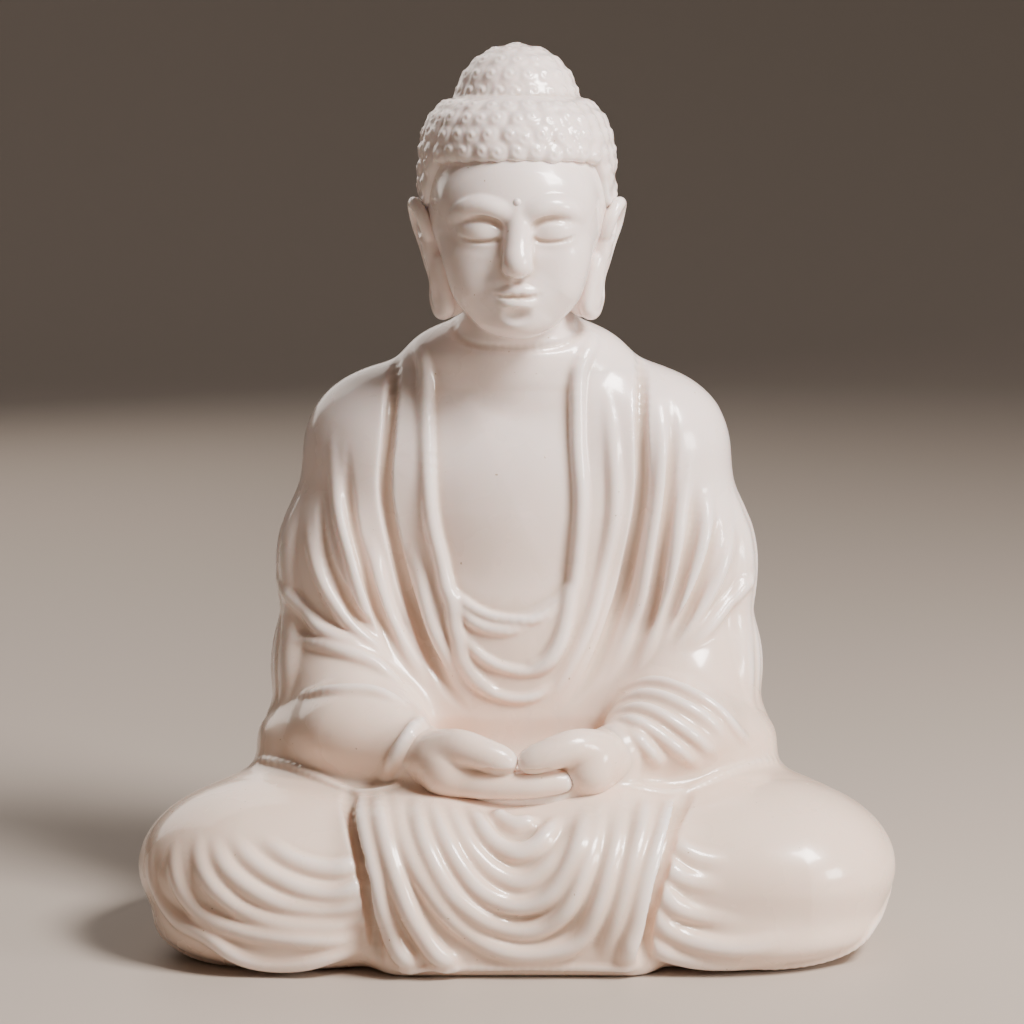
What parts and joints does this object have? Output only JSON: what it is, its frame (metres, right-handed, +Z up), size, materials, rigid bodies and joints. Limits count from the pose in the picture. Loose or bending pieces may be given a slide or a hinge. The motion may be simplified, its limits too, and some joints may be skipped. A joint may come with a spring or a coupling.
{
  "type": "buddha statue",
  "caption": "Seated robed figure with its hands joined in the lap, cast hollow in luted sections and closed by a vented slab; a shelf ornament that rests on a flat foot.",
  "frame": {"origin": "centre of the bounding box at table level, under the flat foot", "axes": "+X towards the figure's own left, -Y the way the figure faces, +Z up"},
  "size_m": [0.2104, 0.1398, 0.25],
  "materials": {
    "white_glaze": "clear glossy glaze over ivory white porcelain",
    "bisque": "unglazed, matt and slightly rough"
  },
  "bodies": {
    "root": {"lap_shell": "white_glaze", "skirt_panel": "white_glaze", "torso_shell": "white_glaze", "right_sleeve": "white_glaze", "left_sleeve": "white_glaze", "right_lapel": "white_glaze", "left_lapel": "white_glaze", "inner_robe": "white_glaze", "right_hand": "white_glaze", "left_hand": "white_glaze", "head_shell": "white_glaze", "right_ear": "white_glaze", "left_ear": "white_glaze", "hair_cap": "white_glaze", "hair_curls": "white_glaze", "crown_dome": "white_glaze", "crown_curls": "white_glaze", "brow_bead": "white_glaze", "base_slab": "bisque"}
  },
  "joints": []
}
